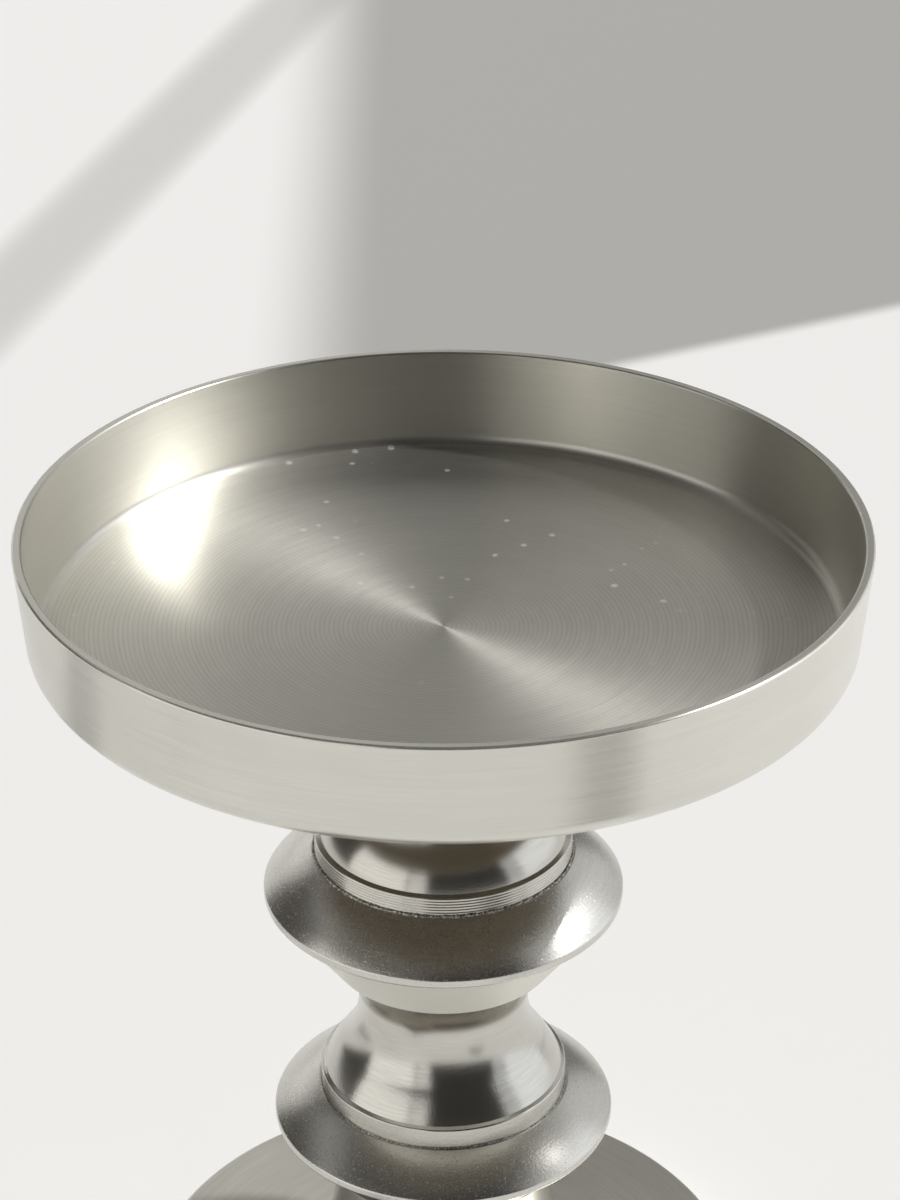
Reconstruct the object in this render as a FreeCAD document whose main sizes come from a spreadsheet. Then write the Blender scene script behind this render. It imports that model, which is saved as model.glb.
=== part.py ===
import FreeCAD, Part
import math
import operator
import os
from types import SimpleNamespace

import Sketcher

# A pillar candle holder of satin steel. A shallow round pan stands on a turned stem, which is a
# stack of five pieces drawn together by one tie rod: collar, disc, waist, disc and foot. The rod
# screws into a boss welded under the pan, and a nut in the base plate's recess pulls it tight.
# Millimetres, +Z up, origin at the centre of the circle that the holder stands on.

driving_sizes = {
    # pan: a spun dish with a leaning wall and a floor that dips a little to a flat centre
    "pan_radius": 55.0,
    "pan_wall_foot_radius": 53.6,
    "pan_sheet": 1.3,
    "pan_depth": 14.4,
    "pan_floor_dip": 0.8,
    "pan_seat_radius": 20.0,
    "pan_corner_rounding": 2.9,
    "pan_lip_rounding": 0.35,
    # boss: welded under the pan, tapped for the rod
    "boss_radius": 8.0,
    "boss_height": 7.0,
    "boss_thread_depth": 6.2,
    "boss_chamfer": 0.5,
    # collar: a low bell on a plain ring, with a neck that flares out again under the pan
    "collar_height": 32.3,
    "collar_top_radius": 16.5,
    "collar_top_band": 2.0,
    "collar_neck_radius": 11.9,
    "collar_neck_low": 11.7,
    "collar_neck_high": 17.0,
    "collar_shoulder_radius": 16.6,
    "collar_ring_radius": 17.3,
    "collar_ring_height": 2.7,
    # upper disc
    "upper_disc_radius": 24.2,
    "upper_disc_edge": 1.2,
    "upper_disc_height": 6.6,
    "upper_disc_hub_radius": 17.7,
    "upper_disc_crown_radius": 22.0,
    # waist: a cone under the upper disc, a neck, a flare and a plain ring
    "waist_height": 31.0,
    "waist_cone_top_radius": 22.8,
    "waist_cone_foot_radius": 15.4,
    "waist_cone_height": 10.0,
    "waist_cone_lip": 0.5,
    "waist_neck_radius": 11.6,
    "waist_neck_height": 13.8,
    "waist_shoulder_radius": 16.3,
    "waist_ring_radius": 16.9,
    "waist_ring_height": 2.9,
    # lower disc
    "lower_disc_radius": 23.4,
    "lower_disc_edge": 1.2,
    "lower_disc_height": 5.1,
    "lower_disc_hub_radius": 17.3,
    "lower_disc_crown_radius": 22.0,
    # both discs
    "disc_rim_rounding": 0.4,
    # foot: a short cone, a neck and a slow flare down to the base plate
    "foot_height": 30.2,
    "foot_cone_top_radius": 20.6,
    "foot_cone_low_radius": 16.8,
    "foot_cone_height": 6.5,
    "foot_neck_radius": 15.0,
    "foot_neck_low": 20.6,
    "foot_shoulder_radius": 19.2,
    "foot_ring_radius": 19.8,
    "foot_ring_height": 2.4,
    # how the stem's pieces centre on each other: a spigot below, in a recess above
    "spigot_radius": 8.0,
    "spigot_height": 2.0,
    "spigot_clearance": 0.05,
    "spigot_end_gap": 0.3,
    "ring_edge_height": 0.3,
    # base plate: turned steel with a boss that centres the foot and a recess for the nut
    "base_radius": 42.1,
    "base_thickness": 5.5,
    "base_edge_rounding": 1.0,
    "base_bottom_chamfer": 0.5,
    "base_boss_radius": 11.0,
    "base_boss_height": 2.6,
    "nut_recess_radius": 8.5,
    "nut_recess_cover": 0.1,
    # rubber ring that the holder stands on, pressed into a groove under the base plate
    "tread_radius": 39.0,
    "tread_width": 6.0,
    "tread_thickness": 2.2,
    "tread_stand_out": 1.0,
    "tread_side_gap": 0.05,
    "tread_edge_rounding": 0.4,
    # tie rod and what is on it
    "rod_radius": 3.0,
    "rod_clearance": 0.3,
    "rod_end_gap": 0.4,
    "rod_chamfer": 0.5,
    "thread_clearance": 0.05,
    "washer_radius": 6.0,
    "washer_thickness": 1.2,
    "washer_clearance": 0.2,
    "spring_washer_radius": 5.6,
    "spring_washer_thickness": 1.4,
    "spring_washer_split": 1.0,
    "nut_flats": 10.0,
    "nut_height": 3.2,
    "nut_corner_chamfer": 0.45,
}


class Length:
    """A length of the holder: its value, and the formula that ties it to the sheet."""

    signs = {"+": operator.add, "-": operator.sub, "*": operator.mul, "/": operator.truediv}

    def __init__(self, value, formula=None):
        self.value = value
        self.formula = str(value) if formula is None else formula

    def joined(self, sign, other, turned=False):
        other = other if isinstance(other, Length) else Length(other)
        first, second = (other, self) if turned else (self, other)
        value = self.signs[sign](first.value, second.value)
        return Length(value, f"({first.formula} {sign} {second.formula})")

    def __add__(self, other):
        return self.joined("+", other)

    def __sub__(self, other):
        return self.joined("-", other)

    def __rsub__(self, other):
        return self.joined("-", other, turned=True)

    def __mul__(self, other):
        return self.joined("*", other)

    def __rmul__(self, other):
        return self.joined("*", other, turned=True)

    def __truediv__(self, other):
        return self.joined("/", other)

    def __neg__(self):
        return 0 - self


doc = FreeCAD.newDocument("CandleHolder")
sheet = doc.addObject("Spreadsheet::Sheet", "Sizes")
for row, (name, value) in enumerate(driving_sizes.items(), start=1):
    sheet.set(f"A{row}", name)
    sheet.set(f"B{row}", str(value))
    sheet.setAlias(f"B{row}", name)
doc.recompute()
size = SimpleNamespace(
    **{name: Length(value, f"Sizes.{name}") for name, value in driving_sizes.items()}
)

# How near two places count as one
SAME_PLACE = 1e-5

pieces = []


def number_of(length):
    return length.value if isinstance(length, Length) else float(length)


def sketch_on(body, role, name):
    """A sketch on the body's own plane of that role."""
    plane = next(feature for feature in body.Origin.OriginFeatures if feature.Role == role)
    sketch = body.newObject("Sketcher::SketchObject", name)
    sketch.AttachmentSupport = [(plane, "")]
    sketch.MapMode = "FlatFace"
    return sketch


def pin_point(sketch, geometry, point, place):
    """Ties a point of the sketch to a radius and a height of the sheet, or to an axis at zero.
    A sketch counts its level axis, whose point 1 is the origin, as -1 and its upright one as -2."""
    for direction, across, length in zip("XY", (-2, -1), place):
        if isinstance(length, Length):
            rule = Sketcher.Constraint(
                "Distance" + direction, -1, 1, geometry, point, length.value
            )
            number = sketch.addConstraint(rule)
            sketch.setExpression(f"Constraints[{number}]", length.formula)
        else:
            sketch.addConstraint(
                Sketcher.Constraint("PointOnObject", geometry, point, across)
            )


def bend(start, end, radius, hollow):
    """The arc of that radius from start to end. A hollow one bulges into the metal on its left."""
    chord = end - start
    to_left = FreeCAD.Vector(-chord.y, chord.x, 0).normalize()
    rise = math.sqrt(radius**2 - chord.Length**2 / 4)
    centre = (start + end) / 2 + to_left * (-rise if hollow else rise)
    first, last = (end, start) if hollow else (start, end)
    angles = [math.atan2(point.y - centre.y, point.x - centre.x) for point in (first, last)]
    circle = Part.Circle(centre, FreeCAD.Vector(0, 0, 1), radius)
    return Part.ArcOfCircle(circle, *angles)


def draw_outline(sketch, outline):
    """Draws a closed outline, anticlockwise. An entry is a (radius, height) corner, or between two
    corners ("round", radius) or ("hollow", radius), which makes that side an arc."""
    corners = []
    bends = {}
    for entry in outline:
        if entry[0] in ("round", "hollow"):
            bends[len(corners) - 1] = entry
        else:
            corners.append(entry)
    places = [FreeCAD.Vector(number_of(r), number_of(z), 0) for r, z in corners]
    ends = []
    for side, start in enumerate(places):
        end = places[(side + 1) % len(places)]
        if side not in bends:
            sketch.addGeometry(Part.LineSegment(start, end))
            ends.append((1, 2))
            continue
        shape, radius = bends[side]
        sketch.addGeometry(bend(start, end, radius.value, shape == "hollow"))
        ends.append((2, 1) if shape == "hollow" else (1, 2))
        number = sketch.addConstraint(Sketcher.Constraint("Radius", side, radius.value))
        sketch.setExpression(f"Constraints[{number}]", radius.formula)
    for side, corner in enumerate(corners):
        before = side - 1 if side else len(corners) - 1
        sketch.addConstraint(
            Sketcher.Constraint("Coincident", before, ends[before][1], side, ends[side][0])
        )
        pin_point(sketch, side, ends[side][0], corner)


def turned_body(label, outline):
    """A body turned about its Z axis from a closed outline of (radius, height) corners."""
    body = doc.addObject("PartDesign::Body", label)
    sketch = sketch_on(body, "XZ_Plane", label + "_section")
    draw_outline(sketch, outline)
    turned = body.newObject("PartDesign::Revolution", label + "_turned")
    turned.Profile = sketch
    turned.ReferenceAxis = (sketch, ["V_Axis"])
    turned.Angle = 360
    sketch.Visibility = False
    doc.recompute()
    return body


def ring_edges(shape, places):
    """Names of the round edges of the shape that lie at the (radius, height) places."""
    names = []
    for radius, height in places:
        for number, edge in enumerate(shape.Edges, start=1):
            if not isinstance(edge.Curve, Part.Circle):
                continue
            off_radius = abs(edge.Curve.Radius - number_of(radius))
            off_height = abs(edge.Curve.Center.z - number_of(height))
            if off_radius + off_height < SAME_PLACE:
                names.append(f"Edge{number}")
                break
        else:
            raise ValueError("an edge to round or bevel isn't there")
    return names


def soften(body, kind, amount, *places):
    """Rounds (Fillet) or bevels (Chamfer) the body's round edges at the (radius, height)s."""
    base = body.Tip
    edges = ring_edges(base.Shape, places)
    feature = body.newObject("PartDesign::" + kind, f"{base.Name}_{kind.lower()}")
    feature.Base = (base, edges)
    feature.setExpression("Radius" if kind == "Fillet" else "Size", amount.formula)
    doc.recompute()


def put(piece, height=0):
    """Stands a finished piece at its height in the holder."""
    piece.Label = piece.Name
    piece.Placement = FreeCAD.Placement()
    if isinstance(height, Length):
        piece.setExpression("Placement.Base.z", height.formula)
    pieces.append(piece)


# Heights in the holder, from the table up: each piece stands on the one below
base_bottom = size.tread_stand_out
base_top = base_bottom + size.base_thickness
foot_top = base_top + size.foot_height
lower_disc_top = foot_top + size.lower_disc_height
waist_top = lower_disc_top + size.waist_height
upper_disc_top = waist_top + size.upper_disc_height
collar_top = upper_disc_top + size.collar_height

# What centres one piece on another has one size, with the running room added to the hole
rod_bore = size.rod_radius + size.rod_clearance
spigot_seat = size.spigot_radius + size.spigot_clearance
spigot_depth = size.spigot_height + size.spigot_end_gap
thread_radius = size.rod_radius + size.thread_clearance


def spigot_below():
    """Corners of the bore's lower end and of the spigot round it, up to the seat face."""
    return [
        (rod_bore, -size.spigot_height),
        (size.spigot_radius, -size.spigot_height),
        (size.spigot_radius, 0),
    ]


def recess_above(top):
    """Corners of the recess in the top face that takes the next piece's spigot."""
    return [
        (spigot_seat, top),
        (spigot_seat, top - spigot_depth),
        (rod_bore, top - spigot_depth),
    ]


def cove_radius(narrow, wide, height):
    """Radius of the arc that leaves a neck straight up and reaches the wider radius."""
    reach = wide - narrow
    return (reach * reach + height * height) / (2 * reach)


def bell_curve(foot_radius, neck_radius, low, high, foot_share, turn_share):
    """Corners and arcs of a bell's flank, round below and hollow above, upright at its neck. The
    shares say how far it leans at its foot and where it turns hollow, as parts of its mean lean."""
    reach = foot_radius - neck_radius
    rise = high - low
    lean = math.atan2(number_of(reach), number_of(rise))
    foot_cosine = math.cos(foot_share * lean)
    foot_sine = math.sin(foot_share * lean)
    turn_cosine = math.cos(turn_share * lean)
    turn_sine = math.sin(turn_share * lean)
    across_share = foot_cosine - turn_cosine
    up_share = turn_sine - foot_sine
    both_share = across_share * turn_sine - up_share * (1 - turn_cosine)
    round_radius = (reach * turn_sine - rise * (1 - turn_cosine)) / both_share
    hollow_radius = (rise * across_share - reach * up_share) / both_share
    return [
        (foot_radius, low),
        ("round", round_radius),
        (foot_radius - round_radius * across_share, low + round_radius * up_share),
        ("hollow", hollow_radius),
        (neck_radius, high),
    ]


def make_candle_pan():
    """Spun dish: both faces of the sheet are drawn, then its bends and lip are rounded."""
    top = size.pan_depth + size.pan_sheet
    floor_rim = size.pan_floor_dip + size.pan_sheet
    inner_foot = size.pan_wall_foot_radius - size.pan_sheet
    inner_lip = size.pan_radius - size.pan_sheet
    body = turned_body(
        "candle_pan",
        [
            (0, 0),
            (size.pan_seat_radius, 0),
            (size.pan_wall_foot_radius, size.pan_floor_dip),
            (size.pan_radius, top),
            (inner_lip, top),
            (inner_foot, floor_rim),
            (size.pan_seat_radius, size.pan_sheet),
            (0, size.pan_sheet),
        ],
    )
    inner_rounding = size.pan_corner_rounding - size.pan_sheet
    soften(body, "Fillet", inner_rounding, (inner_foot, floor_rim))
    outer_corner = (size.pan_wall_foot_radius, size.pan_floor_dip)
    soften(body, "Fillet", size.pan_corner_rounding, outer_corner)
    soften(body, "Fillet", size.pan_lip_rounding, (size.pan_radius, top), (inner_lip, top))
    put(body, collar_top)


def make_pan_boss():
    """Boss welded under the pan, with a blind tapped hole for the rod."""
    body = turned_body(
        "pan_boss",
        [
            (thread_radius, 0),
            (size.boss_radius, 0),
            (size.boss_radius, size.boss_height),
            (0, size.boss_height),
            (0, size.boss_thread_depth),
            (thread_radius, size.boss_thread_depth),
        ],
    )
    soften(body, "Chamfer", size.boss_chamfer, (size.boss_radius, 0))
    put(body, collar_top - size.boss_height)


# How far the two bells lean at the foot and where they turn hollow, as shares of their mean lean
collar_lean_shares = (0.61, 1.70)
waist_lean_shares = (1.17, 1.56)


def make_collar():
    """Collar: ring, low bell, neck and a cove out to the pan."""
    ring_top = size.collar_ring_height
    shoulder_low = ring_top + size.ring_edge_height
    bell = bell_curve(
        size.collar_shoulder_radius,
        size.collar_neck_radius,
        shoulder_low,
        size.collar_neck_low,
        *collar_lean_shares,
    )
    band_low = size.collar_height - size.collar_top_band
    cove = cove_radius(
        size.collar_neck_radius, size.collar_top_radius, band_low - size.collar_neck_high
    )
    boss_seat = size.boss_radius + size.spigot_clearance
    boss_depth = size.boss_height + size.spigot_end_gap
    body = turned_body(
        "upper_collar",
        [
            *spigot_below(),
            (size.collar_ring_radius, 0),
            (size.collar_ring_radius, ring_top),
            *bell,
            (size.collar_neck_radius, size.collar_neck_high),
            ("hollow", cove),
            (size.collar_top_radius, band_low),
            (size.collar_top_radius, size.collar_height),
            (boss_seat, size.collar_height),
            (boss_seat, size.collar_height - boss_depth),
            (rod_bore, size.collar_height - boss_depth),
        ],
    )
    put(body, upper_disc_top)


def make_disc(label, radius, edge, hub_radius, hub_height, crown_radius, height):
    """Disc: flat below, thin at its edge, with a crowned slope up to a hub."""
    body = turned_body(
        label,
        [
            *spigot_below(),
            (radius, 0),
            (radius, edge),
            ("round", crown_radius),
            (hub_radius, hub_height),
            *recess_above(hub_height),
        ],
    )
    soften(body, "Fillet", size.disc_rim_rounding, (radius, 0), (radius, edge))
    put(body, height)


def make_waist():
    """Waist: ring, flare, neck and an upturned cone that carries the upper disc."""
    flare = bell_curve(
        size.waist_shoulder_radius,
        size.waist_neck_radius,
        size.waist_ring_height + size.ring_edge_height,
        size.waist_neck_height,
        *waist_lean_shares,
    )
    cone_low = size.waist_height - size.waist_cone_height
    cone_inside = size.waist_cone_foot_radius - size.waist_cone_lip
    cove = cove_radius(size.waist_neck_radius, cone_inside, cone_low - size.waist_neck_height)
    body = turned_body(
        "waist_spool",
        [
            *spigot_below(),
            (size.waist_ring_radius, 0),
            (size.waist_ring_radius, size.waist_ring_height),
            *flare,
            ("hollow", cove),
            (cone_inside, cone_low),
            (size.waist_cone_foot_radius, cone_low),
            (size.waist_cone_top_radius, size.waist_height),
            *recess_above(size.waist_height),
        ],
    )
    put(body, lower_disc_top)


def make_foot():
    """Foot: a slow flare that sits over the base plate's boss."""
    boss_seat = size.base_boss_radius + size.spigot_clearance
    boss_depth = size.base_boss_height + size.spigot_end_gap
    shoulder_low = size.foot_ring_height + size.ring_edge_height
    neck_rise = size.foot_neck_low - shoulder_low
    flare = cove_radius(size.foot_neck_radius, size.foot_shoulder_radius, neck_rise)
    cone_low = size.foot_height - size.foot_cone_height
    body = turned_body(
        "foot_stem",
        [
            (rod_bore, boss_depth),
            (boss_seat, boss_depth),
            (boss_seat, 0),
            (size.foot_ring_radius, 0),
            (size.foot_ring_radius, size.foot_ring_height),
            (size.foot_shoulder_radius, shoulder_low),
            ("hollow", flare),
            (size.foot_neck_radius, size.foot_neck_low),
            (size.foot_neck_radius, cone_low),
            (size.foot_cone_low_radius, cone_low),
            (size.foot_cone_top_radius, size.foot_height),
            *recess_above(size.foot_height),
        ],
    )
    put(body, base_top)


clamped_height = size.washer_thickness + size.spring_washer_thickness + size.nut_height
nut_recess_depth = clamped_height + size.nut_recess_cover
tread_depth = size.tread_thickness - size.tread_stand_out
tread_inside = size.tread_radius - size.tread_width


def make_base_plate():
    """Base plate: its groove for the rubber ring is turned from below."""
    boss_top = size.base_thickness + size.base_boss_height
    body = turned_body(
        "base_plate",
        [
            (size.nut_recess_radius, 0),
            (size.base_radius, 0),
            (size.base_radius, size.base_thickness),
            (size.base_boss_radius, size.base_thickness),
            (size.base_boss_radius, boss_top),
            (rod_bore, boss_top),
            (rod_bore, nut_recess_depth),
            (size.nut_recess_radius, nut_recess_depth),
        ],
    )
    soften(body, "Fillet", size.base_edge_rounding, (size.base_radius, size.base_thickness))
    soften(body, "Chamfer", size.base_bottom_chamfer, (size.base_radius, 0))
    before = body.Tip.Shape.Volume
    sketch = sketch_on(body, "XZ_Plane", "tread_groove_section")
    inner = tread_inside - size.tread_side_gap
    outer = size.tread_radius + size.tread_side_gap
    draw_outline(sketch, [(inner, 0), (outer, 0), (outer, tread_depth), (inner, tread_depth)])
    groove = body.newObject("PartDesign::Groove", "tread_groove")
    groove.Profile = sketch
    groove.ReferenceAxis = (sketch, ["V_Axis"])
    groove.Angle = 360
    doc.recompute()
    if body.Tip.Shape.Volume >= before:
        raise ValueError("the groove under the base plate cuts nothing")
    put(body, base_bottom)


def make_tread_ring():
    """Rubber ring in the base plate's groove, rounded where it meets the table."""
    body = turned_body(
        "rubber_tread_ring",
        [
            (tread_inside, 0),
            (size.tread_radius, 0),
            (size.tread_radius, size.tread_thickness),
            (tread_inside, size.tread_thickness),
        ],
    )
    soften(body, "Fillet", size.tread_edge_rounding, (size.tread_radius, 0), (tread_inside, 0))
    put(body)


washer_bottom = base_bottom + nut_recess_depth - size.washer_thickness
spring_washer_bottom = washer_bottom - size.spring_washer_thickness
nut_bottom = spring_washer_bottom - size.nut_height


def make_tie_rod():
    """Tie rod: from the nut's lower face up into the boss under the pan."""
    hole_end = collar_top - size.boss_height + size.boss_thread_depth
    length = hole_end - size.rod_end_gap - nut_bottom
    body = turned_body(
        "tie_rod", [(0, 0), (size.rod_radius, 0), (size.rod_radius, length), (0, length)]
    )
    ends = [(size.rod_radius, 0), (size.rod_radius, length)]
    soften(body, "Chamfer", size.rod_chamfer, *ends)
    put(body, nut_bottom)


def make_washers():
    """A flat washer against the plate, and a split spring washer under it."""
    hole = size.rod_radius + size.washer_clearance
    flat = turned_body(
        "flat_washer",
        [
            (hole, 0),
            (size.washer_radius, 0),
            (size.washer_radius, size.washer_thickness),
            (hole, size.washer_thickness),
        ],
    )
    put(flat, washer_bottom)
    spring = turned_body(
        "spring_washer",
        [
            (hole, 0),
            (size.spring_washer_radius, 0),
            (size.spring_washer_radius, size.spring_washer_thickness),
            (hole, size.spring_washer_thickness),
        ],
    )
    before = spring.Tip.Shape.Volume
    sketch = sketch_on(spring, "XY_Plane", "split_section")
    half_split = size.spring_washer_split / 2
    past_washer = size.spring_washer_radius + size.washer_clearance
    draw_outline(
        sketch,
        [(0, -half_split), (past_washer, -half_split), (past_washer, half_split), (0, half_split)],
    )
    split = spring.newObject("PartDesign::Pocket", "spring_washer_split_cut")
    split.Profile = sketch
    split.Type = "ThroughAll"
    split.Reversed = True
    doc.recompute()
    if spring.Tip.Shape.Volume >= before:
        raise ValueError("the spring washer isn't split")
    put(spring, spring_washer_bottom)


# A hexagon's width across flats over its corner radius, and a 30 degree bevel's run over its rise
hexagon_flats_share = math.sqrt(3)
nut_bevel_share = math.sqrt(3)


def make_nut():
    """Thin hexagon nut: a prism whose corners a cone bevels, with the thread's hole."""
    corner_radius = size.nut_flats / hexagon_flats_share
    block = doc.addObject("Part::Prism", "nut_block")
    block.Polygon = 6
    block.setExpression("Circumradius", corner_radius.formula)
    block.setExpression("Height", size.nut_height.formula)
    bevel = doc.addObject("Part::Cone", "nut_bevel")
    bevel_foot = corner_radius - size.nut_corner_chamfer
    bevel.setExpression("Radius1", bevel_foot.formula)
    bevel.setExpression("Radius2", (bevel_foot + size.nut_height * nut_bevel_share).formula)
    bevel.setExpression("Height", size.nut_height.formula)
    bevelled = doc.addObject("Part::Common", "nut_bevelled")
    bevelled.Base = block
    bevelled.Tool = bevel
    hole = doc.addObject("Part::Cylinder", "nut_hole")
    hole.setExpression("Radius", thread_radius.formula)
    hole.setExpression("Height", size.nut_height.formula)
    nut = doc.addObject("Part::Cut", "base_nut")
    nut.Base = bevelled
    nut.Tool = hole
    doc.recompute()
    put(nut, nut_bottom)


make_candle_pan()
make_pan_boss()
make_collar()
make_disc(
    "upper_disc",
    size.upper_disc_radius,
    size.upper_disc_edge,
    size.upper_disc_hub_radius,
    size.upper_disc_height,
    size.upper_disc_crown_radius,
    waist_top,
)
make_waist()
make_disc(
    "lower_disc",
    size.lower_disc_radius,
    size.lower_disc_edge,
    size.lower_disc_hub_radius,
    size.lower_disc_height,
    size.lower_disc_crown_radius,
    foot_top,
)
make_foot()
make_base_plate()
make_tread_ring()
make_tie_rod()
make_washers()
make_nut()
doc.recompute()

for thing in doc.Objects:
    if "Invalid" in thing.State or "Error" in thing.State:
        raise ValueError(f"{thing.Label} failed: {thing.State}")
for piece in pieces:
    if piece.Shape.isNull() or not piece.Shape.isValid() or len(piece.Shape.Solids) != 1:
        raise ValueError(f"{piece.Label} isn't one sound solid")

os.makedirs("parts", exist_ok=True)
for piece in pieces:
    piece.Shape.exportStep(f"parts/{piece.Label}.step")
    box = piece.Shape.optimalBoundingBox()
    print(f"{piece.Label}: z {box.ZMin:.2f} to {box.ZMax:.2f}, {box.YLength:.2f} across")
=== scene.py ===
import cmath
import math

import bpy
import numpy as np
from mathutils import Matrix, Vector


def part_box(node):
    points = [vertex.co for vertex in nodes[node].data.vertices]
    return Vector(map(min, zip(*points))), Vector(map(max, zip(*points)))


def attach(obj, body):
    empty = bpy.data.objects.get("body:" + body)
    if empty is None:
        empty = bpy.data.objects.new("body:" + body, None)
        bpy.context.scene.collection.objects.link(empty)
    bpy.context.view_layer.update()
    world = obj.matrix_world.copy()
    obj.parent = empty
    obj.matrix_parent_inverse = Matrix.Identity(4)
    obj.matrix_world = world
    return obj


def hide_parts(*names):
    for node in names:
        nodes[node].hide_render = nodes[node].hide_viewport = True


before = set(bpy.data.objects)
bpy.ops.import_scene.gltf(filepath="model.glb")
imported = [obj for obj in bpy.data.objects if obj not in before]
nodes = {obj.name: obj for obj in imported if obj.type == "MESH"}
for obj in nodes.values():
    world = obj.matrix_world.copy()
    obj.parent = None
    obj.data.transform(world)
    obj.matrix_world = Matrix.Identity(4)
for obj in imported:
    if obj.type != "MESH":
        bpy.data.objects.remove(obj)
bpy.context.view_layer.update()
mm = 0.001


# Base plate
# A thick round plate of steel, faced and edge-rounded on a lathe and left with a dull brushed
# top. The foot sits over its low boss; a groove below takes the rubber ring.


def bend_centre(start, end, radius, way):
    """Centre of the arc from start to end. way is 1 where it bulges out of the metal, or -1."""
    chord = end - start
    rise = math.sqrt(radius**2 - abs(chord) ** 2 / 4)
    return (start + end) / 2 + way * 1j * chord / abs(chord) * rise


def arc_steps(start, end, centre, way, coarsest):
    """Points of an arc with their outward directions, both as complex numbers."""
    spoke = start - centre
    sweep = cmath.phase((end - centre) / spoke)
    steps = max(3, math.ceil(abs(sweep) / coarsest))
    turns = [cmath.exp(1j * sweep * step / steps) for step in range(steps + 1)]
    return [(centre + spoke * turn, way * spoke * turn / abs(spoke)) for turn in turns]


def outline_steps(outline):
    """Follows a closed outline, anticlockwise, and gives each short side as its two ends with
    their outward directions. An entry is a corner (radius, height, rounding), or between two
    corners ("round", radius) or ("hollow", radius) where that side is an arc."""
    corners, bends = [], {}
    for entry in outline:
        if isinstance(entry[0], str):
            bends[len(corners) - 1] = (entry[1], 1 if entry[0] == "round" else -1)
        else:
            corners.append((complex(entry[0], entry[1]), entry[2] if len(entry) > 2 else 0))
    sides = []
    for number, (start, _) in enumerate(corners):
        end = corners[(number + 1) % len(corners)][0]
        if number in bends:
            radius, way = bends[number]
            centre = bend_centre(start, end, radius, way)
            leave, arrive = (way * 1j * (point - centre) / radius for point in (start, end))
        else:
            radius, way, centre = 0, 0, 0
            leave = arrive = (end - start) / abs(end - start)
        sides.append([start, end, radius, way, centre, leave, arrive])
    roundings = []
    for number, (_, rounding) in enumerate(corners):
        before, after = sides[number - 1], sides[number]
        turn = cmath.phase(after[5] / before[6])
        cut = rounding * math.tan(abs(turn) / 2)
        roundings.append((turn, rounding))
        if rounding:
            for side, at, sign in ((before, 1, -1), (after, 0, 1)):
                if side[2]:
                    spin = cmath.exp(1j * side[3] * sign * cut / side[2])
                    side[at] = side[4] + (side[at] - side[4]) * spin
                else:
                    side[at] += sign * cut * side[5]
    steps = []
    for number, side in enumerate(sides):
        start, end, radius, way, centre, leave, arrive = side
        turn, rounding = roundings[number]
        if rounding:
            hand = 1 if turn > 0 else -1
            came = sides[number - 1]
            pivot = came[1] + hand * 1j * rounding * came[6]
            steps.append(arc_steps(came[1], start, pivot, hand, math.radians(16)))
        if radius:
            steps.append(arc_steps(start, end, centre, way, math.radians(3)))
        else:
            steps.append([(start, -1j * leave), (end, -1j * leave)])
    return [pair for run in steps for pair in zip(run, run[1:])]


def turned(name, outline, facets=192):
    """A piece turned about the holder's axis, with the outline's own directions as normals."""
    pairs = outline_steps(outline)
    spokes = [cmath.exp(2j * math.pi * facet / facets) for facet in range(facets)]
    points, rings = [], []
    for (place, _), _ in pairs:
        on_axis = abs(place.real) < 1e-9
        rings.append([len(points)] * facets if on_axis else
                     list(range(len(points), len(points) + facets)))
        for spoke in spokes[:1] if on_axis else spokes:
            points.append((place.real * spoke.real, place.real * spoke.imag, place.imag))
    faces, normals = [], []
    for number, ((place, out), (next_place, next_out)) in enumerate(pairs):
        ring, next_ring = rings[number], rings[(number + 1) % len(pairs)]
        if abs(place.real) < 1e-9 and abs(next_place.real) < 1e-9:
            continue
        for facet in range(facets):
            after = (facet + 1) % facets
            corners = [(ring[facet], facet, out), (ring[after], after, out),
                       (next_ring[after], after, next_out), (next_ring[facet], facet, next_out)]
            seen = []
            for corner in corners:
                if corner[0] not in [other[0] for other in seen]:
                    seen.append(corner)
            faces.append([corner[0] for corner in seen])
            normals += [(way.real * spokes[at].real, way.real * spokes[at].imag, way.imag)
                        for _, at, way in seen]
    mesh = bpy.data.meshes.new(name)
    mesh.from_pydata(points, [], faces)
    mesh.shade_smooth()
    mesh.normals_split_custom_set(normals)
    piece = bpy.data.objects.new(name, mesh)
    bpy.context.scene.collection.objects.link(piece)
    return piece


def fit(piece, finish, slot, *replaced):
    """Gives a piece its finish and its place on the holder."""
    piece.data.materials.append(finish)
    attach(piece, "root")
    if replaced:
        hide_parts(*replaced)


class Wire:
    """A value, vector or colour inside a finish. Sums and products of it add their own nodes."""

    def __init__(self, finish, socket):
        self.finish = finish
        self.socket = socket

    def joined(self, operation, first, second):
        kind = "Math" if self.socket.type == "VALUE" else "VectorMath"
        if kind == "VectorMath":
            first, second = ((v, v, v) if isinstance(v, (int, float)) else v
                             for v in (first, second))
        return self.finish.add(kind, {"operation": operation}, {0: first, 1: second})

    def __add__(self, other):
        return self.joined("ADD", self, other)

    __radd__ = __add__

    def __sub__(self, other):
        return self.joined("SUBTRACT", self, other)

    def __rsub__(self, other):
        return self.joined("SUBTRACT", other, self)

    def __mul__(self, other):
        return self.joined("MULTIPLY", self, other)

    __rmul__ = __mul__

    def __truediv__(self, other):
        return self.joined("DIVIDE", self, other)

    def __rtruediv__(self, other):
        return self.joined("DIVIDE", other, self)

    def __pow__(self, other):
        return self.joined("POWER", self, other)


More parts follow.
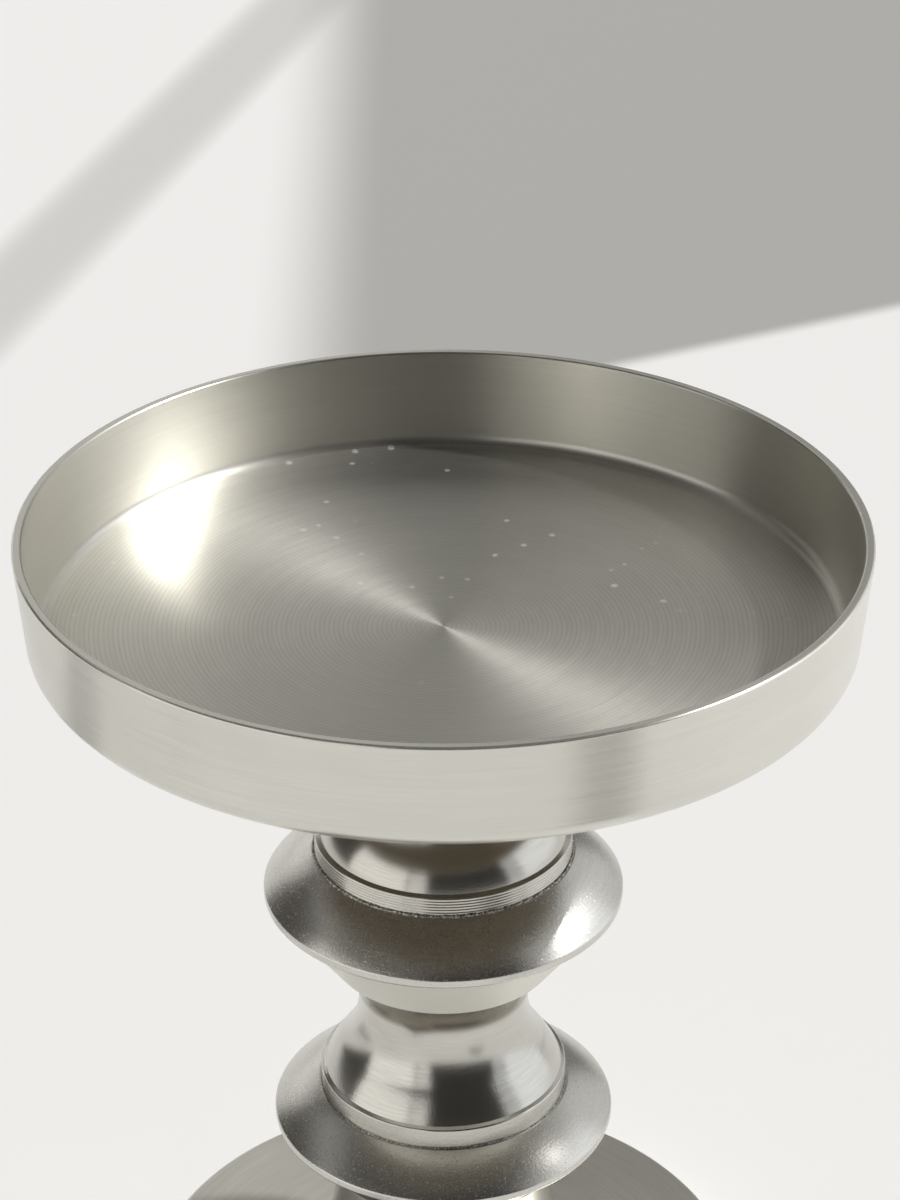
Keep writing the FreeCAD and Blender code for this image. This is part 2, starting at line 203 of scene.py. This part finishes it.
class Finish:
    """A material under construction. add() makes any node that it needs."""

    def __init__(self, name):
        self.material = bpy.data.materials.new(name)
        self.material.use_nodes = True
        self.tree = self.material.node_tree
        self.tree.nodes.clear()

    def add(self, kind, settings=None, sockets=None, output=0):
        node = self.tree.nodes.new("ShaderNode" + kind)
        for key, value in (settings or {}).items():
            setattr(node, key, value)
        for key, value in (sockets or {}).items():
            if isinstance(value, Wire):
                self.tree.links.new(value.socket, node.inputs[key])
            else:
                node.inputs[key].default_value = value
        return Wire(self, node.outputs[output])

    def split(self):
        """The place on the piece in millimetres, as three values."""
        place = self.add("TexCoord", output="Object") * (1 / mm)
        node = place.finish.add("SeparateXYZ", sockets={0: place}).socket.node
        return [Wire(self, socket) for socket in node.outputs]

    def band(self, value, low, high, low_gives=0.0, high_gives=1.0):
        """Goes smoothly from low_gives to high_gives as the value goes from low to high."""
        return self.add("MapRange", {"interpolation_type": "SMOOTHSTEP"},
                        {0: value, 1: low, 2: high, 3: low_gives, 4: high_gives})

    def blend(self, share, first, second):
        """One colour going over into another."""
        return self.add("Mix", {"data_type": "RGBA"}, {0: share, 6: first, 7: second}, output=2)

    def metal(self, colour, roughness, height, anisotropic, metallic=1.0):
        """The finish's surface: bare metal whose gloss is drawn out across its turning lines."""
        bump = self.add("Bump", sockets={"Height": height, "Distance": mm, "Strength": 1.0})
        self.add_output(self.add("BsdfPrincipled", sockets={
            "Base Color": colour, "Roughness": roughness, "Metallic": metallic,
            "Anisotropic": anisotropic, "Anisotropic Rotation": 0.25, "Normal": bump}))
        return self.material

    def add_output(self, shader):
        node = self.tree.nodes.new("ShaderNodeOutputMaterial")
        self.tree.links.new(shader.socket, node.inputs["Surface"])


def lathe_lines(finish, pitch, runs, detail=3.0):
    """Noise drawn out round the axis, as a tool or an abrasive leaves it on a turning piece."""
    x, y, z = finish.split()
    radius = (x * x + y * y) ** 0.5 + 0.001
    around = finish.add("CombineXYZ", sockets={0: x / radius * runs, 1: y / radius * runs,
                                               2: radius / pitch})
    return finish.add("TexNoise", {"noise_dimensions": "4D"},
                      {"Vector": around, "W": z / pitch, "Scale": 1.0, "Detail": detail,
                       "Roughness": 0.6})


def brushed(finish, light, dark, gloss, pitch, depth):
    """Colour, roughness and height of steel with turning lines of that pitch in millimetres."""
    fine = lathe_lines(finish, pitch, 4.0)
    broad = lathe_lines(finish, pitch * 7, 1.5, 2.0)
    cloud = finish.add("TexNoise", sockets={
        "Vector": finish.add("TexCoord", output="Object"), "Scale": 90.0, "Detail": 2.0})
    tone = fine * 0.6 + broad * 0.2 + cloud * 0.2
    colour = finish.blend(finish.band(tone, 0.3, 0.7), (*dark, 1), (*light, 1))
    return colour, gloss * (0.87 + 0.26 * tone), fine * depth + broad * depth


def blast(finish, coarse=2700.0):
    """The fine pits that blasting leaves, as a value from 0 to 1."""
    return finish.add("TexNoise", sockets={
        "Vector": finish.add("TexCoord", output="Object"), "Scale": coarse, "Detail": 4.0,
        "Roughness": 0.65})


base_low, base_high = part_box("base_plate")
base_radius = base_high.x
base_boss_radius = 11 * mm
base_boss_height = 2.6 * mm
base_top = base_high.z - base_boss_height
base_edge_rounding = 1 * mm
base_bottom_bevel = 0.5 * mm
rod_bore = 3.3 * mm
nut_recess_radius = 8.5 * mm
nut_recess_top = base_low.z + 5.9 * mm
groove_inner_radius, groove_outer_radius = 32.95 * mm, 39.05 * mm
groove_roof = base_low.z + 1.2 * mm

base_plate = turned("base_plate_dressed", [
    (nut_recess_radius, base_low.z, 0.2 * mm),
    (groove_inner_radius, base_low.z, 0.2 * mm),
    (groove_inner_radius, groove_roof),
    (groove_outer_radius, groove_roof),
    (groove_outer_radius, base_low.z, 0.2 * mm),
    (base_radius - base_bottom_bevel, base_low.z, 0.1 * mm),
    (base_radius, base_low.z + base_bottom_bevel, 0.1 * mm),
    (base_radius, base_top, base_edge_rounding),
    (base_boss_radius, base_top, 0.1 * mm),
    (base_boss_radius, base_high.z, 0.2 * mm),
    (rod_bore, base_high.z, 0.1 * mm),
    (rod_bore, nut_recess_top),
    (nut_recess_radius, nut_recess_top),
])
brushed_plate = Finish("brushed_plate")
plate_colour, plate_roughness, plate_height = brushed(
    brushed_plate, (0.66, 0.645, 0.59), (0.56, 0.545, 0.50), 0.40, 0.2, 0.006)
fit(base_plate, brushed_plate.metal(plate_colour, plate_roughness, plate_height, 0.5, 0.9),
    "brushed_plate", "base_plate")


# Foot
# A slow flare turned from steel bar, with a plain ring at its foot and a short cone on top.

foot_low, foot_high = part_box("foot_stem")
foot_neck_radius = 15 * mm
foot_neck_low = foot_low.z + 20.6 * mm
foot_shoulder_radius = 19.2 * mm
foot_ring_radius = 19.8 * mm
foot_ring_top = foot_low.z + 2.4 * mm
foot_shoulder_low = foot_ring_top + 0.3 * mm
foot_cone_low_radius = 16.8 * mm
foot_cone_low = foot_high.z - 6.5 * mm
foot_hollow_radius = 11.05 * mm
foot_hollow_top = foot_low.z + 2.9 * mm
edge_break = 0.12 * mm
spigot_radius = 8 * mm
spigot_seat = 8.05 * mm
spigot_height = 2 * mm
spigot_depth = 2.3 * mm


def cove_radius(narrow, wide, height):
    """Radius of the arc that leaves a neck straight up and reaches the wider radius."""
    reach = wide - narrow
    return (reach * reach + height * height) / (2 * reach)


def recess_above(top):
    """Corners of the recess in the top face that takes the next piece's spigot."""
    return [(spigot_seat, top, edge_break), (spigot_seat, top - spigot_depth),
            (rod_bore, top - spigot_depth)]


def spigot_below(seat):
    """Corners of the bore's lower end and of the spigot round it, up to the seat face."""
    return [(rod_bore, seat - spigot_height), (spigot_radius, seat - spigot_height, edge_break),
            (spigot_radius, seat)]


foot_flare = cove_radius(foot_neck_radius, foot_shoulder_radius, foot_neck_low - foot_shoulder_low)
foot = turned("foot_dressed", [
    (rod_bore, foot_hollow_top),
    (foot_hollow_radius, foot_hollow_top),
    (foot_hollow_radius, foot_low.z, edge_break),
    (foot_ring_radius, foot_low.z, edge_break),
    (foot_ring_radius, foot_ring_top, edge_break),
    (foot_shoulder_radius, foot_shoulder_low),
    ("hollow", foot_flare),
    (foot_neck_radius, foot_neck_low),
    (foot_neck_radius, foot_cone_low, 0.3 * mm),
    (foot_cone_low_radius, foot_cone_low, edge_break),
    (foot_high.x, foot_high.z, edge_break),
    *recess_above(foot_high.z),
])
turned_steel = Finish("turned_steel")
stem_colour, stem_roughness, stem_height = brushed(
    turned_steel, (0.62, 0.60, 0.55), (0.53, 0.512, 0.468), 0.22, 0.12, 0.003)
stem_height = stem_height + blast(turned_steel) * 0.003
turned_steel.metal(stem_colour, stem_roughness, stem_height, 0.6)
fit(foot, turned_steel.material, "turned_steel", "foot_stem")


# Discs
# Two flat-bottomed discs with crowned tops, turned thin at the edge and then lightly blasted, so
# that their slopes glitter a little where the light falls on them.

disc_rim_rounding = 0.4 * mm
disc_edge = 1.2 * mm
disc_crown = 22 * mm
blasted_steel = Finish("blasted_steel")
disc_colour, disc_roughness, disc_height = brushed(
    blasted_steel, (0.70, 0.685, 0.64), (0.60, 0.585, 0.55), 0.26, 0.12, 0.0005)
pits = blast(blasted_steel)
glints = blasted_steel.band(blast(blasted_steel, 3300.0), 0.60, 0.72)
blasted_steel.metal(disc_colour, disc_roughness + glints * 0.10,
                    disc_height + pits * 0.02 + glints * 0.008, 0.3)
for node, hub_radius, hub_height in (("lower_disc", 17.3 * mm, 5.1 * mm),
                                     ("upper_disc", 17.7 * mm, 6.6 * mm)):
    _, disc_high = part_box(node)
    seat = disc_high.z - hub_height
    disc = turned(node + "_dressed", [
        *spigot_below(seat),
        (disc_high.x, seat, disc_rim_rounding),
        (disc_high.x, seat + disc_edge, disc_rim_rounding),
        ("round", disc_crown),
        (hub_radius, disc_high.z, edge_break),
        *recess_above(disc_high.z),
    ])
    fit(disc, blasted_steel.material, "turned_steel", node)


# Waist
# Turned in one piece: a plain ring, a flare up to a narrow neck, and an upturned cone on top,
# whose flank is left dull. The hollow under the cone is coloured dark, a painted shade.

waist_low, waist_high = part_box("waist_spool")
waist_seat = waist_low.z + spigot_height
waist_neck_radius = 11.6 * mm
waist_neck_height = waist_seat + 13.8 * mm
waist_ring_radius = 16.9 * mm
waist_ring_top = waist_seat + 2.9 * mm
waist_shoulder_radius = 16.3 * mm
waist_cone_foot_radius = 15.4 * mm
waist_cone_lip = 0.5 * mm
waist_cone_low = waist_high.z - 10 * mm
ring_edge_height = 0.3 * mm
ring_rounding = 0.3 * mm


def bell_curve(foot_radius, neck_radius, low, high, foot_share, turn_share):
    """Corners and arcs of a bell's flank, round below and hollow above, upright at its neck. The
    shares say how far it leans at its foot and where it turns hollow, as parts of its mean lean."""
    reach = foot_radius - neck_radius
    rise = high - low
    lean = math.atan2(reach, rise)
    foot_lean, turn_lean = foot_share * lean, turn_share * lean
    across_share = math.cos(foot_lean) - math.cos(turn_lean)
    up_share = math.sin(turn_lean) - math.sin(foot_lean)
    neck_share = 1 - math.cos(turn_lean)
    both_share = across_share * math.sin(turn_lean) - up_share * neck_share
    round_radius = (reach * math.sin(turn_lean) - rise * neck_share) / both_share
    return [
        (foot_radius, low),
        ("round", round_radius),
        (foot_radius - round_radius * across_share, low + round_radius * up_share),
        ("hollow", (rise * across_share - reach * up_share) / both_share),
        (neck_radius, high),
    ]


waist = turned("waist_dressed", [
    *spigot_below(waist_seat),
    (waist_ring_radius, waist_seat, edge_break),
    (waist_ring_radius, waist_ring_top, ring_rounding),
    *bell_curve(waist_shoulder_radius, waist_neck_radius, waist_ring_top + ring_edge_height,
                waist_neck_height, foot_share=1.17, turn_share=1.56),
    ("hollow", cove_radius(waist_neck_radius, waist_cone_foot_radius - waist_cone_lip,
                           waist_cone_low - waist_neck_height)),
    (waist_cone_foot_radius - waist_cone_lip, waist_cone_low),
    (waist_cone_foot_radius, waist_cone_low, edge_break),
    (waist_high.x, waist_high.z, edge_break),
    *recess_above(waist_high.z),
])
waist_steel = Finish("waist_steel")
waist_colour, waist_roughness, waist_lines = brushed(
    waist_steel, (0.64, 0.625, 0.58), (0.53, 0.517, 0.476), 0.20, 0.14, 0.003)
on_cone = waist_steel.band(waist_steel.split()[2], waist_cone_low / mm - 0.1,
                           waist_cone_low / mm + 0.1)
# painted shade: the hollow under the cone is coloured dark brown
painted_hollow_shade = waist_steel.band(waist_steel.split()[2], waist_neck_height / mm + 0.9,
                             waist_neck_height / mm + 2.4)
waist_colour = waist_steel.blend(painted_hollow_shade, waist_colour, (0.30, 0.275, 0.23, 1))
waist_colour = waist_steel.blend(on_cone, waist_colour, (0.84, 0.825, 0.765, 1))
waist_grain = blast(waist_steel)
waist_steel.metal(waist_colour, waist_roughness + on_cone * 0.38,
                  waist_lines + waist_grain * 0.012 + waist_grain * on_cone * 0.016, 0.5,
                  1 - 0.2 * on_cone)
fit(waist, waist_steel.material, "turned_steel", "waist_spool")


# Collar
# A low bell on a grooved ring, with a neck above it that flares out again to meet the pan. A
# rough bead of braze runs round each ring where it stands on its disc.

collar_low, collar_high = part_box("upper_collar")
collar_seat = collar_low.z + spigot_height
collar_neck_radius = 11.9 * mm
collar_neck_high = collar_seat + 17 * mm
collar_ring_top = collar_seat + 2.7 * mm
collar_shoulder_radius = 16.6 * mm
collar_bell_top = collar_seat + 11.7 * mm
collar_top_radius = 16.5 * mm
collar_band_low = collar_high.z - 2 * mm
boss_seat_radius = 8.05 * mm
boss_seat_depth = 7.3 * mm
groove_count, groove_pitch, groove_depth = 5, 0.42 * mm, 0.06 * mm
grooves = []
for groove in range(groove_count):
    groove_low = collar_seat + 0.5 * mm + groove * groove_pitch
    grooves += [(collar_high.x, groove_low),
                (collar_high.x - groove_depth, groove_low + groove_pitch * 0.25),
                (collar_high.x, groove_low + groove_pitch * 0.5)]
collar = turned("collar_dressed", [
    *spigot_below(collar_seat),
    (collar_high.x, collar_seat, edge_break),
    *grooves,
    (collar_high.x, collar_ring_top, ring_rounding),
    *bell_curve(collar_shoulder_radius, collar_neck_radius, collar_ring_top + ring_edge_height,
                collar_bell_top, foot_share=0.61, turn_share=1.70),
    (collar_neck_radius, collar_neck_high),
    ("hollow", cove_radius(collar_neck_radius, collar_top_radius,
                           collar_band_low - collar_neck_high)),
    (collar_top_radius, collar_band_low, edge_break),
    (collar_top_radius, collar_high.z, edge_break),
    (boss_seat_radius, collar_high.z, edge_break),
    (boss_seat_radius, collar_high.z - boss_seat_depth),
    (rod_bore, collar_high.z - boss_seat_depth),
])
fit(collar, turned_steel.material, "turned_steel", "upper_collar")


def braze_bead(name, radius, seat, thickness, seed):
    """A lumpy bead of braze in the corner between a ring's side and its disc."""
    lengths, sides = 900, 8
    chance = np.random.default_rng(seed)
    lumps = chance.normal(size=(lengths, sides))
    swell = np.convolve(np.tile(chance.normal(size=lengths), 3), np.ones(9) / 5, "same")
    points, faces = [], []
    for length in range(lengths):
        turn = cmath.exp(2j * math.pi * length / lengths)
        for side in range(sides):
            size = thickness * (1 + 0.22 * lumps[length, side] + 0.2 * swell[lengths + length])
            way = cmath.exp(2j * math.pi * side / sides)
            reach = radius + size * way.real
            points.append((reach * turn.real, reach * turn.imag, seat + size * way.imag))
            after = (length + 1) % lengths
            beside = (side + 1) % sides
            faces.append((length * sides + side, after * sides + side,
                          after * sides + beside, length * sides + beside))
    mesh = bpy.data.meshes.new(name)
    mesh.from_pydata(points, [], faces)
    mesh.shade_smooth()
    bead = bpy.data.objects.new(name, mesh)
    bpy.context.scene.collection.objects.link(bead)
    return bead


braze = Finish("braze")
braze_specks = blast(braze, 3200.0)
braze_colour = braze.blend(braze.band(braze_specks, 0.45, 0.62), (0.20, 0.185, 0.165, 1),
                           (0.80, 0.78, 0.73, 1))
braze.metal(braze_colour, 0.25 + 0.3 * braze_specks, braze_specks * 0.08, 0.0)
for name, radius, seat, thickness, seed in (
    ("collar_braze_bead", collar_high.x, collar_seat, 0.28 * mm, 11),
    ("waist_braze_bead", waist_ring_radius, waist_seat, 0.11 * mm, 12),
):
    fit(braze_bead(name, radius, seat, thickness, seed), braze.material, "turned_steel")


# Candle pan
# A shallow dish spun from sheet steel, its floor and wall brushed in rings on the lathe. The
# underside is coloured dark brown and the inside of the wall darker, both painted shade, and a
# little dust lies on the floor.

pan_low, pan_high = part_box("candle_pan")
pan_radius = 55 * mm
pan_foot_radius = 53.6 * mm
pan_sheet = 1.3 * mm
pan_dip = 0.8 * mm
pan_seat_radius = 20 * mm
pan_corner = 2.9 * mm
pan_lip = 0.35 * mm
pan = turned("candle_pan_dressed", [
    (0, pan_low.z),
    (pan_seat_radius, pan_low.z),
    (pan_foot_radius, pan_low.z + pan_dip, pan_corner),
    (pan_radius, pan_high.z, pan_lip),
    (pan_radius - pan_sheet, pan_high.z, pan_lip),
    (pan_foot_radius - pan_sheet, pan_low.z + pan_dip + pan_sheet, pan_corner - pan_sheet),
    (pan_seat_radius, pan_low.z + pan_sheet),
    (0, pan_low.z + pan_sheet),
], facets=256)
brushed_sheet = Finish("brushed_sheet")
sheet_colour, sheet_roughness, sheet_lines = brushed(
    brushed_sheet, (0.79, 0.775, 0.71), (0.70, 0.688, 0.63), 0.34, 0.16, 0.003)
sheet_x, sheet_y, sheet_z = brushed_sheet.split()
sheet_reach = (sheet_x * sheet_x + sheet_y * sheet_y) ** 0.5
on_wall = brushed_sheet.band(sheet_reach, 51.0, 52.5)
sheet_middle = pan_low.z / mm + 1.0
# painted shade: the underside is coloured dark brown for the shade under the pan
underside = (brushed_sheet.band(sheet_z, sheet_middle - 0.1, sheet_middle + 0.1, 1.0, 0.0)
             * brushed_sheet.band(sheet_reach, 50.0, 51.5, 1.0, 0.0))
ring_pitch = 0.62
waver = brushed_sheet.add("TexNoise", sockets={
    "Vector": brushed_sheet.add("TexCoord", output="Object"), "Scale": 60.0, "Detail": 1.0})
wave = brushed_sheet.add("Math", {"operation": "SINE"},
                         {0: (sheet_reach + waver * 0.5) * (2 * math.pi / ring_pitch)})
rings = brushed_sheet.band(wave, 0.2, 1.0) * (1 - on_wall)
sheet_grain = blast(brushed_sheet, 2300.0)
flat_place = brushed_sheet.add("CombineXYZ", sockets={0: sheet_x, 1: sheet_y})
turned_place = brushed_sheet.add("CombineXYZ", sockets={
    0: sheet_x * 0.8 + sheet_y * 0.6 + 37.3, 1: sheet_y * 0.8 - sheet_x * 0.6 + 11.9})
cells = brushed_sheet.add("TexVoronoi", {"voronoi_dimensions": "2D"},
                          {"Vector": turned_place, "Scale": 0.42, "Randomness": 1.0}).socket.node
cell_draws = brushed_sheet.add("SeparateXYZ", sockets={
    0: Wire(brushed_sheet, cells.outputs["Color"])})
cell_draw, speck_size = [Wire(brushed_sheet, draw)
                         for draw in cell_draws.socket.node.outputs[:2]]
speck_reach = Wire(brushed_sheet, cells.outputs["Distance"]) - speck_size * 0.12
dust = (brushed_sheet.band(speck_reach, 0.02, 0.14, 1.0, 0.0) * (speck_size * 0.5 + 0.2)
        * brushed_sheet.band(cell_draw, 0.945, 0.96) * (1 - on_wall)
        * (brushed_sheet.band(sheet_y, -20.0, 20.0) * 0.7 + 0.2))
outward = brushed_sheet.add("VectorMath", {"operation": "DOT_PRODUCT"}, {
    0: brushed_sheet.add("NewGeometry", output="Normal"), 1: flat_place}, output="Value")
inside = brushed_sheet.band(outward / sheet_reach, -0.6, -0.4, 1.0, 0.0)
# painted shade: the inside of the wall is coloured darker
sheet_colour = brushed_sheet.blend(inside * 0.47, sheet_colour, (0.36, 0.35, 0.32, 1))
sheet_colour = brushed_sheet.blend(rings * 0.16, sheet_colour, (0.30, 0.295, 0.28, 1))
sheet_colour = brushed_sheet.blend(underside, sheet_colour, (0.16, 0.135, 0.10, 1))
sheet_colour = brushed_sheet.blend(dust, sheet_colour, (0.86, 0.85, 0.82, 1))
sheet_roughness = (sheet_roughness - on_wall * (0.12 - inside * 0.10) + underside * 0.15
                   + sheet_grain * 0.06)
sheet_lines = sheet_lines * (0.8 - on_wall * 0.42) + sheet_grain * 0.004 - rings * 0.0015
fit(pan, brushed_sheet.metal(sheet_colour, sheet_roughness, sheet_lines, 0.71,
                             0.97 - on_wall * (1 - inside) * 0.17 - dust * 0.5),
    "brushed_sheet", "candle_pan")


# Rubber ring and fixings
# The ring that the holder stands on, and the rod, washers, nut and boss that hold it together.

rubber = Finish("black_rubber")
rubber_grain = rubber.add("TexNoise", sockets={
    "Vector": rubber.add("TexCoord", output="Object"), "Scale": 2500.0, "Detail": 3.0})
rubber_bump = rubber.add("Bump", sockets={"Height": rubber_grain, "Distance": 0.03 * mm})
rubber_colour = rubber.blend(rubber_grain, (0.012, 0.012, 0.012, 1), (0.035, 0.034, 0.033, 1))
rubber.add_output(rubber.add("BsdfPrincipled", sockets={
    "Base Color": rubber_colour, "Roughness": 0.5 + 0.3 * rubber_grain, "Normal": rubber_bump}))
_, tread_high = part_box("rubber_tread_ring")
tread_inner_radius = 33 * mm
tread = turned("rubber_tread_ring_dressed", [
    (tread_inner_radius, 0, 0.4 * mm), (tread_high.x, 0, 0.4 * mm),
    (tread_high.x, tread_high.z, 0.1 * mm), (tread_inner_radius, tread_high.z, 0.1 * mm)])
fit(tread, rubber.material, "black_rubber", "rubber_tread_ring")

plain_steel = Finish("plain_steel")
plain_colour, plain_roughness, plain_height = brushed(
    plain_steel, (0.56, 0.56, 0.555), (0.44, 0.44, 0.435), 0.4, 0.3, 0.004)
plain_steel.metal(plain_colour, plain_roughness, plain_height, 0.0)
for node in ("pan_boss", "tie_rod", "flat_washer", "spring_washer", "base_nut"):
    nodes[node].data.materials.clear()
    nodes[node].data.materials.append(plain_steel.material)


# Studio
# A pale floor with the shade of a wall and of a window bar behind, a key lamp from the right, a
# weak window lamp, and a ring of cards, light and dark, for the steel to reflect.

floor_half = 4.0
floor_mesh = bpy.data.meshes.new("studio_floor")
floor_mesh.from_pydata([(-floor_half, -floor_half, 0), (floor_half, -floor_half, 0),
                        (floor_half, floor_half, 0), (-floor_half, floor_half, 0)], [],
                       [(0, 1, 2, 3)])
floor = bpy.data.objects.new("studio_floor", floor_mesh)
bpy.context.scene.collection.objects.link(floor)
floor_finish = Finish("studio_floor")
floor_x, floor_y, _ = floor_finish.split()
aside = (floor_x + 40.8) * 0.959 - (floor_y - 573.0) * 0.284
bar_shade = floor_finish.band(aside * aside, 10.0, 260.0, 0.58, 0.0)
wall_shade = (floor_finish.band(floor_x, -46.0, -14.0)
              * floor_finish.band(floor_y - floor_x * 0.487, 303.0, 311.0))
floor_colour = floor_finish.blend(wall_shade, floor_finish.blend(
    bar_shade, (0.93, 0.93, 0.92, 1), (0.50, 0.495, 0.475, 1)), (0.46, 0.455, 0.437, 1))
floor_finish.add_output(floor_finish.add("BsdfPrincipled", sockets={
    "Base Color": floor_colour, "Roughness": 0.9, "Specular IOR Level": 0.1}))
floor_mesh.materials.append(floor_finish.material)


def card(name, points, faces, glow):
    """A card of the studio, lit evenly, that only the steel sees."""
    mesh = bpy.data.meshes.new(name)
    mesh.from_pydata(points, [], faces)
    sheet = bpy.data.objects.new(name, mesh)
    bpy.context.scene.collection.objects.link(sheet)
    finish = Finish(name)
    finish.add_output(finish.add("Emission", sockets={"Color": (*glow, 1)}))
    mesh.materials.append(finish.material)
    sheet.visible_camera = False
    sheet.visible_diffuse = False
    sheet.visible_shadow = False
    return sheet


card_reach = 1.15
card_steps = 24
for name, start, end, low, high, glow in (
    ("card_back_left", -180, -134, 0.02, 0.45, (0.72, 0.71, 0.69)),
    ("card_back_left_high", -180, -152, 0.45, 1.5, (0.45, 0.445, 0.43)),
    ("card_left_middle", -152, -134, 0.45, 0.62, (0.55, 0.545, 0.53)),
    ("card_left_high", -152, -134, 0.62, 1.5, (0.06, 0.056, 0.05)),
    ("card_left", -134, -89, 0.02, 0.85, (0.075, 0.07, 0.064)),
    ("card_left_top", -134, -89, 0.85, 1.5, (0.34, 0.337, 0.33)),
    ("softbox_left", -89, -33, 0.02, 0.80, (1.16, 1.15, 1.12)),
    ("softbox_left_narrow", -31, -15, 0.02, 0.80, (0.88, 0.87, 0.85)),
    ("card_left_front_high", -89, -15, 0.80, 1.5, (0.08, 0.076, 0.07)),
    ("card_front", -15, 58, 0.02, 1.5, (0.04, 0.038, 0.036)),
    ("softbox_right_edge", 58, 74, 0.02, 0.95, (0.62, 0.63, 0.65)),
    ("softbox_right", 74, 122, 0.02, 0.95, (1.12, 1.15, 1.20)),
    ("card_back_right", 122, 150, 0.02, 0.95, (0.70, 0.70, 0.69)),
    ("card_back", 150, 180, 0.02, 0.95, (0.19, 0.187, 0.18)),
    ("sky_right", 58, 180, 0.95, 1.5, (0.42, 0.415, 0.40)),
):
    angles = [math.radians(start + (end - start) * step / card_steps)
              for step in range(card_steps + 1)]
    feet = [(card_reach * math.sin(angle), -card_reach * math.cos(angle)) for angle in angles]
    card(name, [(x, y, z) for x, y in feet for z in (low, high)],
         [(2 * step, 2 * step + 1, 2 * step + 3, 2 * step + 2) for step in range(card_steps)],
         glow)
card("card_above", [(-1.3, -1.3, 1.5), (0.95, -1.3, 1.5), (0.95, 1.1, 1.5), (-1.3, 1.1, 1.5)],
     [(0, 1, 2, 3)], (0.05, 0.049, 0.047))

# Patches of the table that only reflections show: painted shadows of the holder on the table,
# and a glowing patch that paints light over the key's shadow; and a flag that keeps the key off
# the low stem
for name, across, along, half_width, half_length, turn, glow in (
    ("painted_table_shadow_right_outer", 128, -153, 32, 66, 40, 0.68),
    ("painted_table_shadow_right", 128, -153, 24, 62, 40, 0.54),
    ("painted_table_shadow_right_inner", 128, -153, 16, 58, 40, 0.40),
    ("painted_table_shadow_left_outer", -170, 60, 30, 66, -70, 0.62),
    ("painted_table_shadow_left", -170, 60, 20, 60, -70, 0.45),
    ("painted_table_light_fill", -118, -20, 75, 62, 0, 0.80),
):
    spin = cmath.exp(1j * math.radians(turn))
    corners = [complex(across, along) + complex(x, y) * spin
               for x, y in ((-half_width, -half_length), (half_width, -half_length),
                            (half_width, half_length), (-half_width, half_length))]
    lift = (1.5 - glow) * mm
    card(name, [(corner.real * mm, corner.imag * mm, lift) for corner in corners],
         [(0, 1, 2, 3)], (glow, glow * 0.985, glow * 0.955))
flag = card("key_flag", [(75 * mm, y * mm, z * mm) for y, z in (
    (-34, 89), (18, 89), (18, 133), (-34, 133))], [(0, 1, 2, 3)], (0.0, 0.0, 0.0))
flag_finish = Finish("key_flag")
flag_finish.add_output(flag_finish.add("BsdfTransparent", sockets={
    "Color": (0.02, 0.02, 0.02, 1)}))
flag.data.materials.clear()
flag.data.materials.append(flag_finish.material)
flag.visible_glossy = False
flag.visible_shadow = True

window = bpy.data.lights.new("window", "AREA")
window.shape = "RECTANGLE"
window.size = window.size_y = 0.36
window.energy = 0.12
window.cycles.use_multiple_importance_sampling = False
window.color = (1.0, 0.99, 0.97)
window_lamp = bpy.data.objects.new("window", window)
window_place = np.array((-0.50, 0.80, 0.37)) * 1.035
window_lamp.location = window_place
window_lamp.rotation_euler = (math.radians(90 - 21), 0, math.radians(180 + 32))
window_lamp.visible_camera = False
bpy.context.scene.collection.objects.link(window_lamp)

key = bpy.data.lights.new("key", "SUN")
key.energy = 3.35
key.angle = math.radians(4)
key.cycles.use_multiple_importance_sampling = False
key.color = (1.0, 0.99, 0.98)
key_lamp = bpy.data.objects.new("key", key)
key_azimuth = math.radians(10)
key_height = math.radians(46)
key_lamp.rotation_euler = (0, math.pi / 2 - key_height, key_azimuth)
bpy.context.scene.collection.objects.link(key_lamp)

world = bpy.data.worlds.new("studio_air")
world.use_nodes = True
world.node_tree.nodes["Background"].inputs["Color"].default_value = (0.14, 0.139, 0.136, 1)
bpy.context.scene.world = world

camera_lens = bpy.data.cameras.new("camera")
camera_lens.lens = 108
camera_lens.sensor_width = 36
camera_lens.shift_x = 0.0055
camera = bpy.data.objects.new("camera", camera_lens)
camera.location = (0, -408.54 * mm, 338.49 * mm)
camera.rotation_euler = (math.radians(90 - 28.48), 0, 0)
bpy.context.scene.collection.objects.link(camera)
bpy.context.scene.camera = camera
bpy.context.scene.view_settings.view_transform = "Standard"
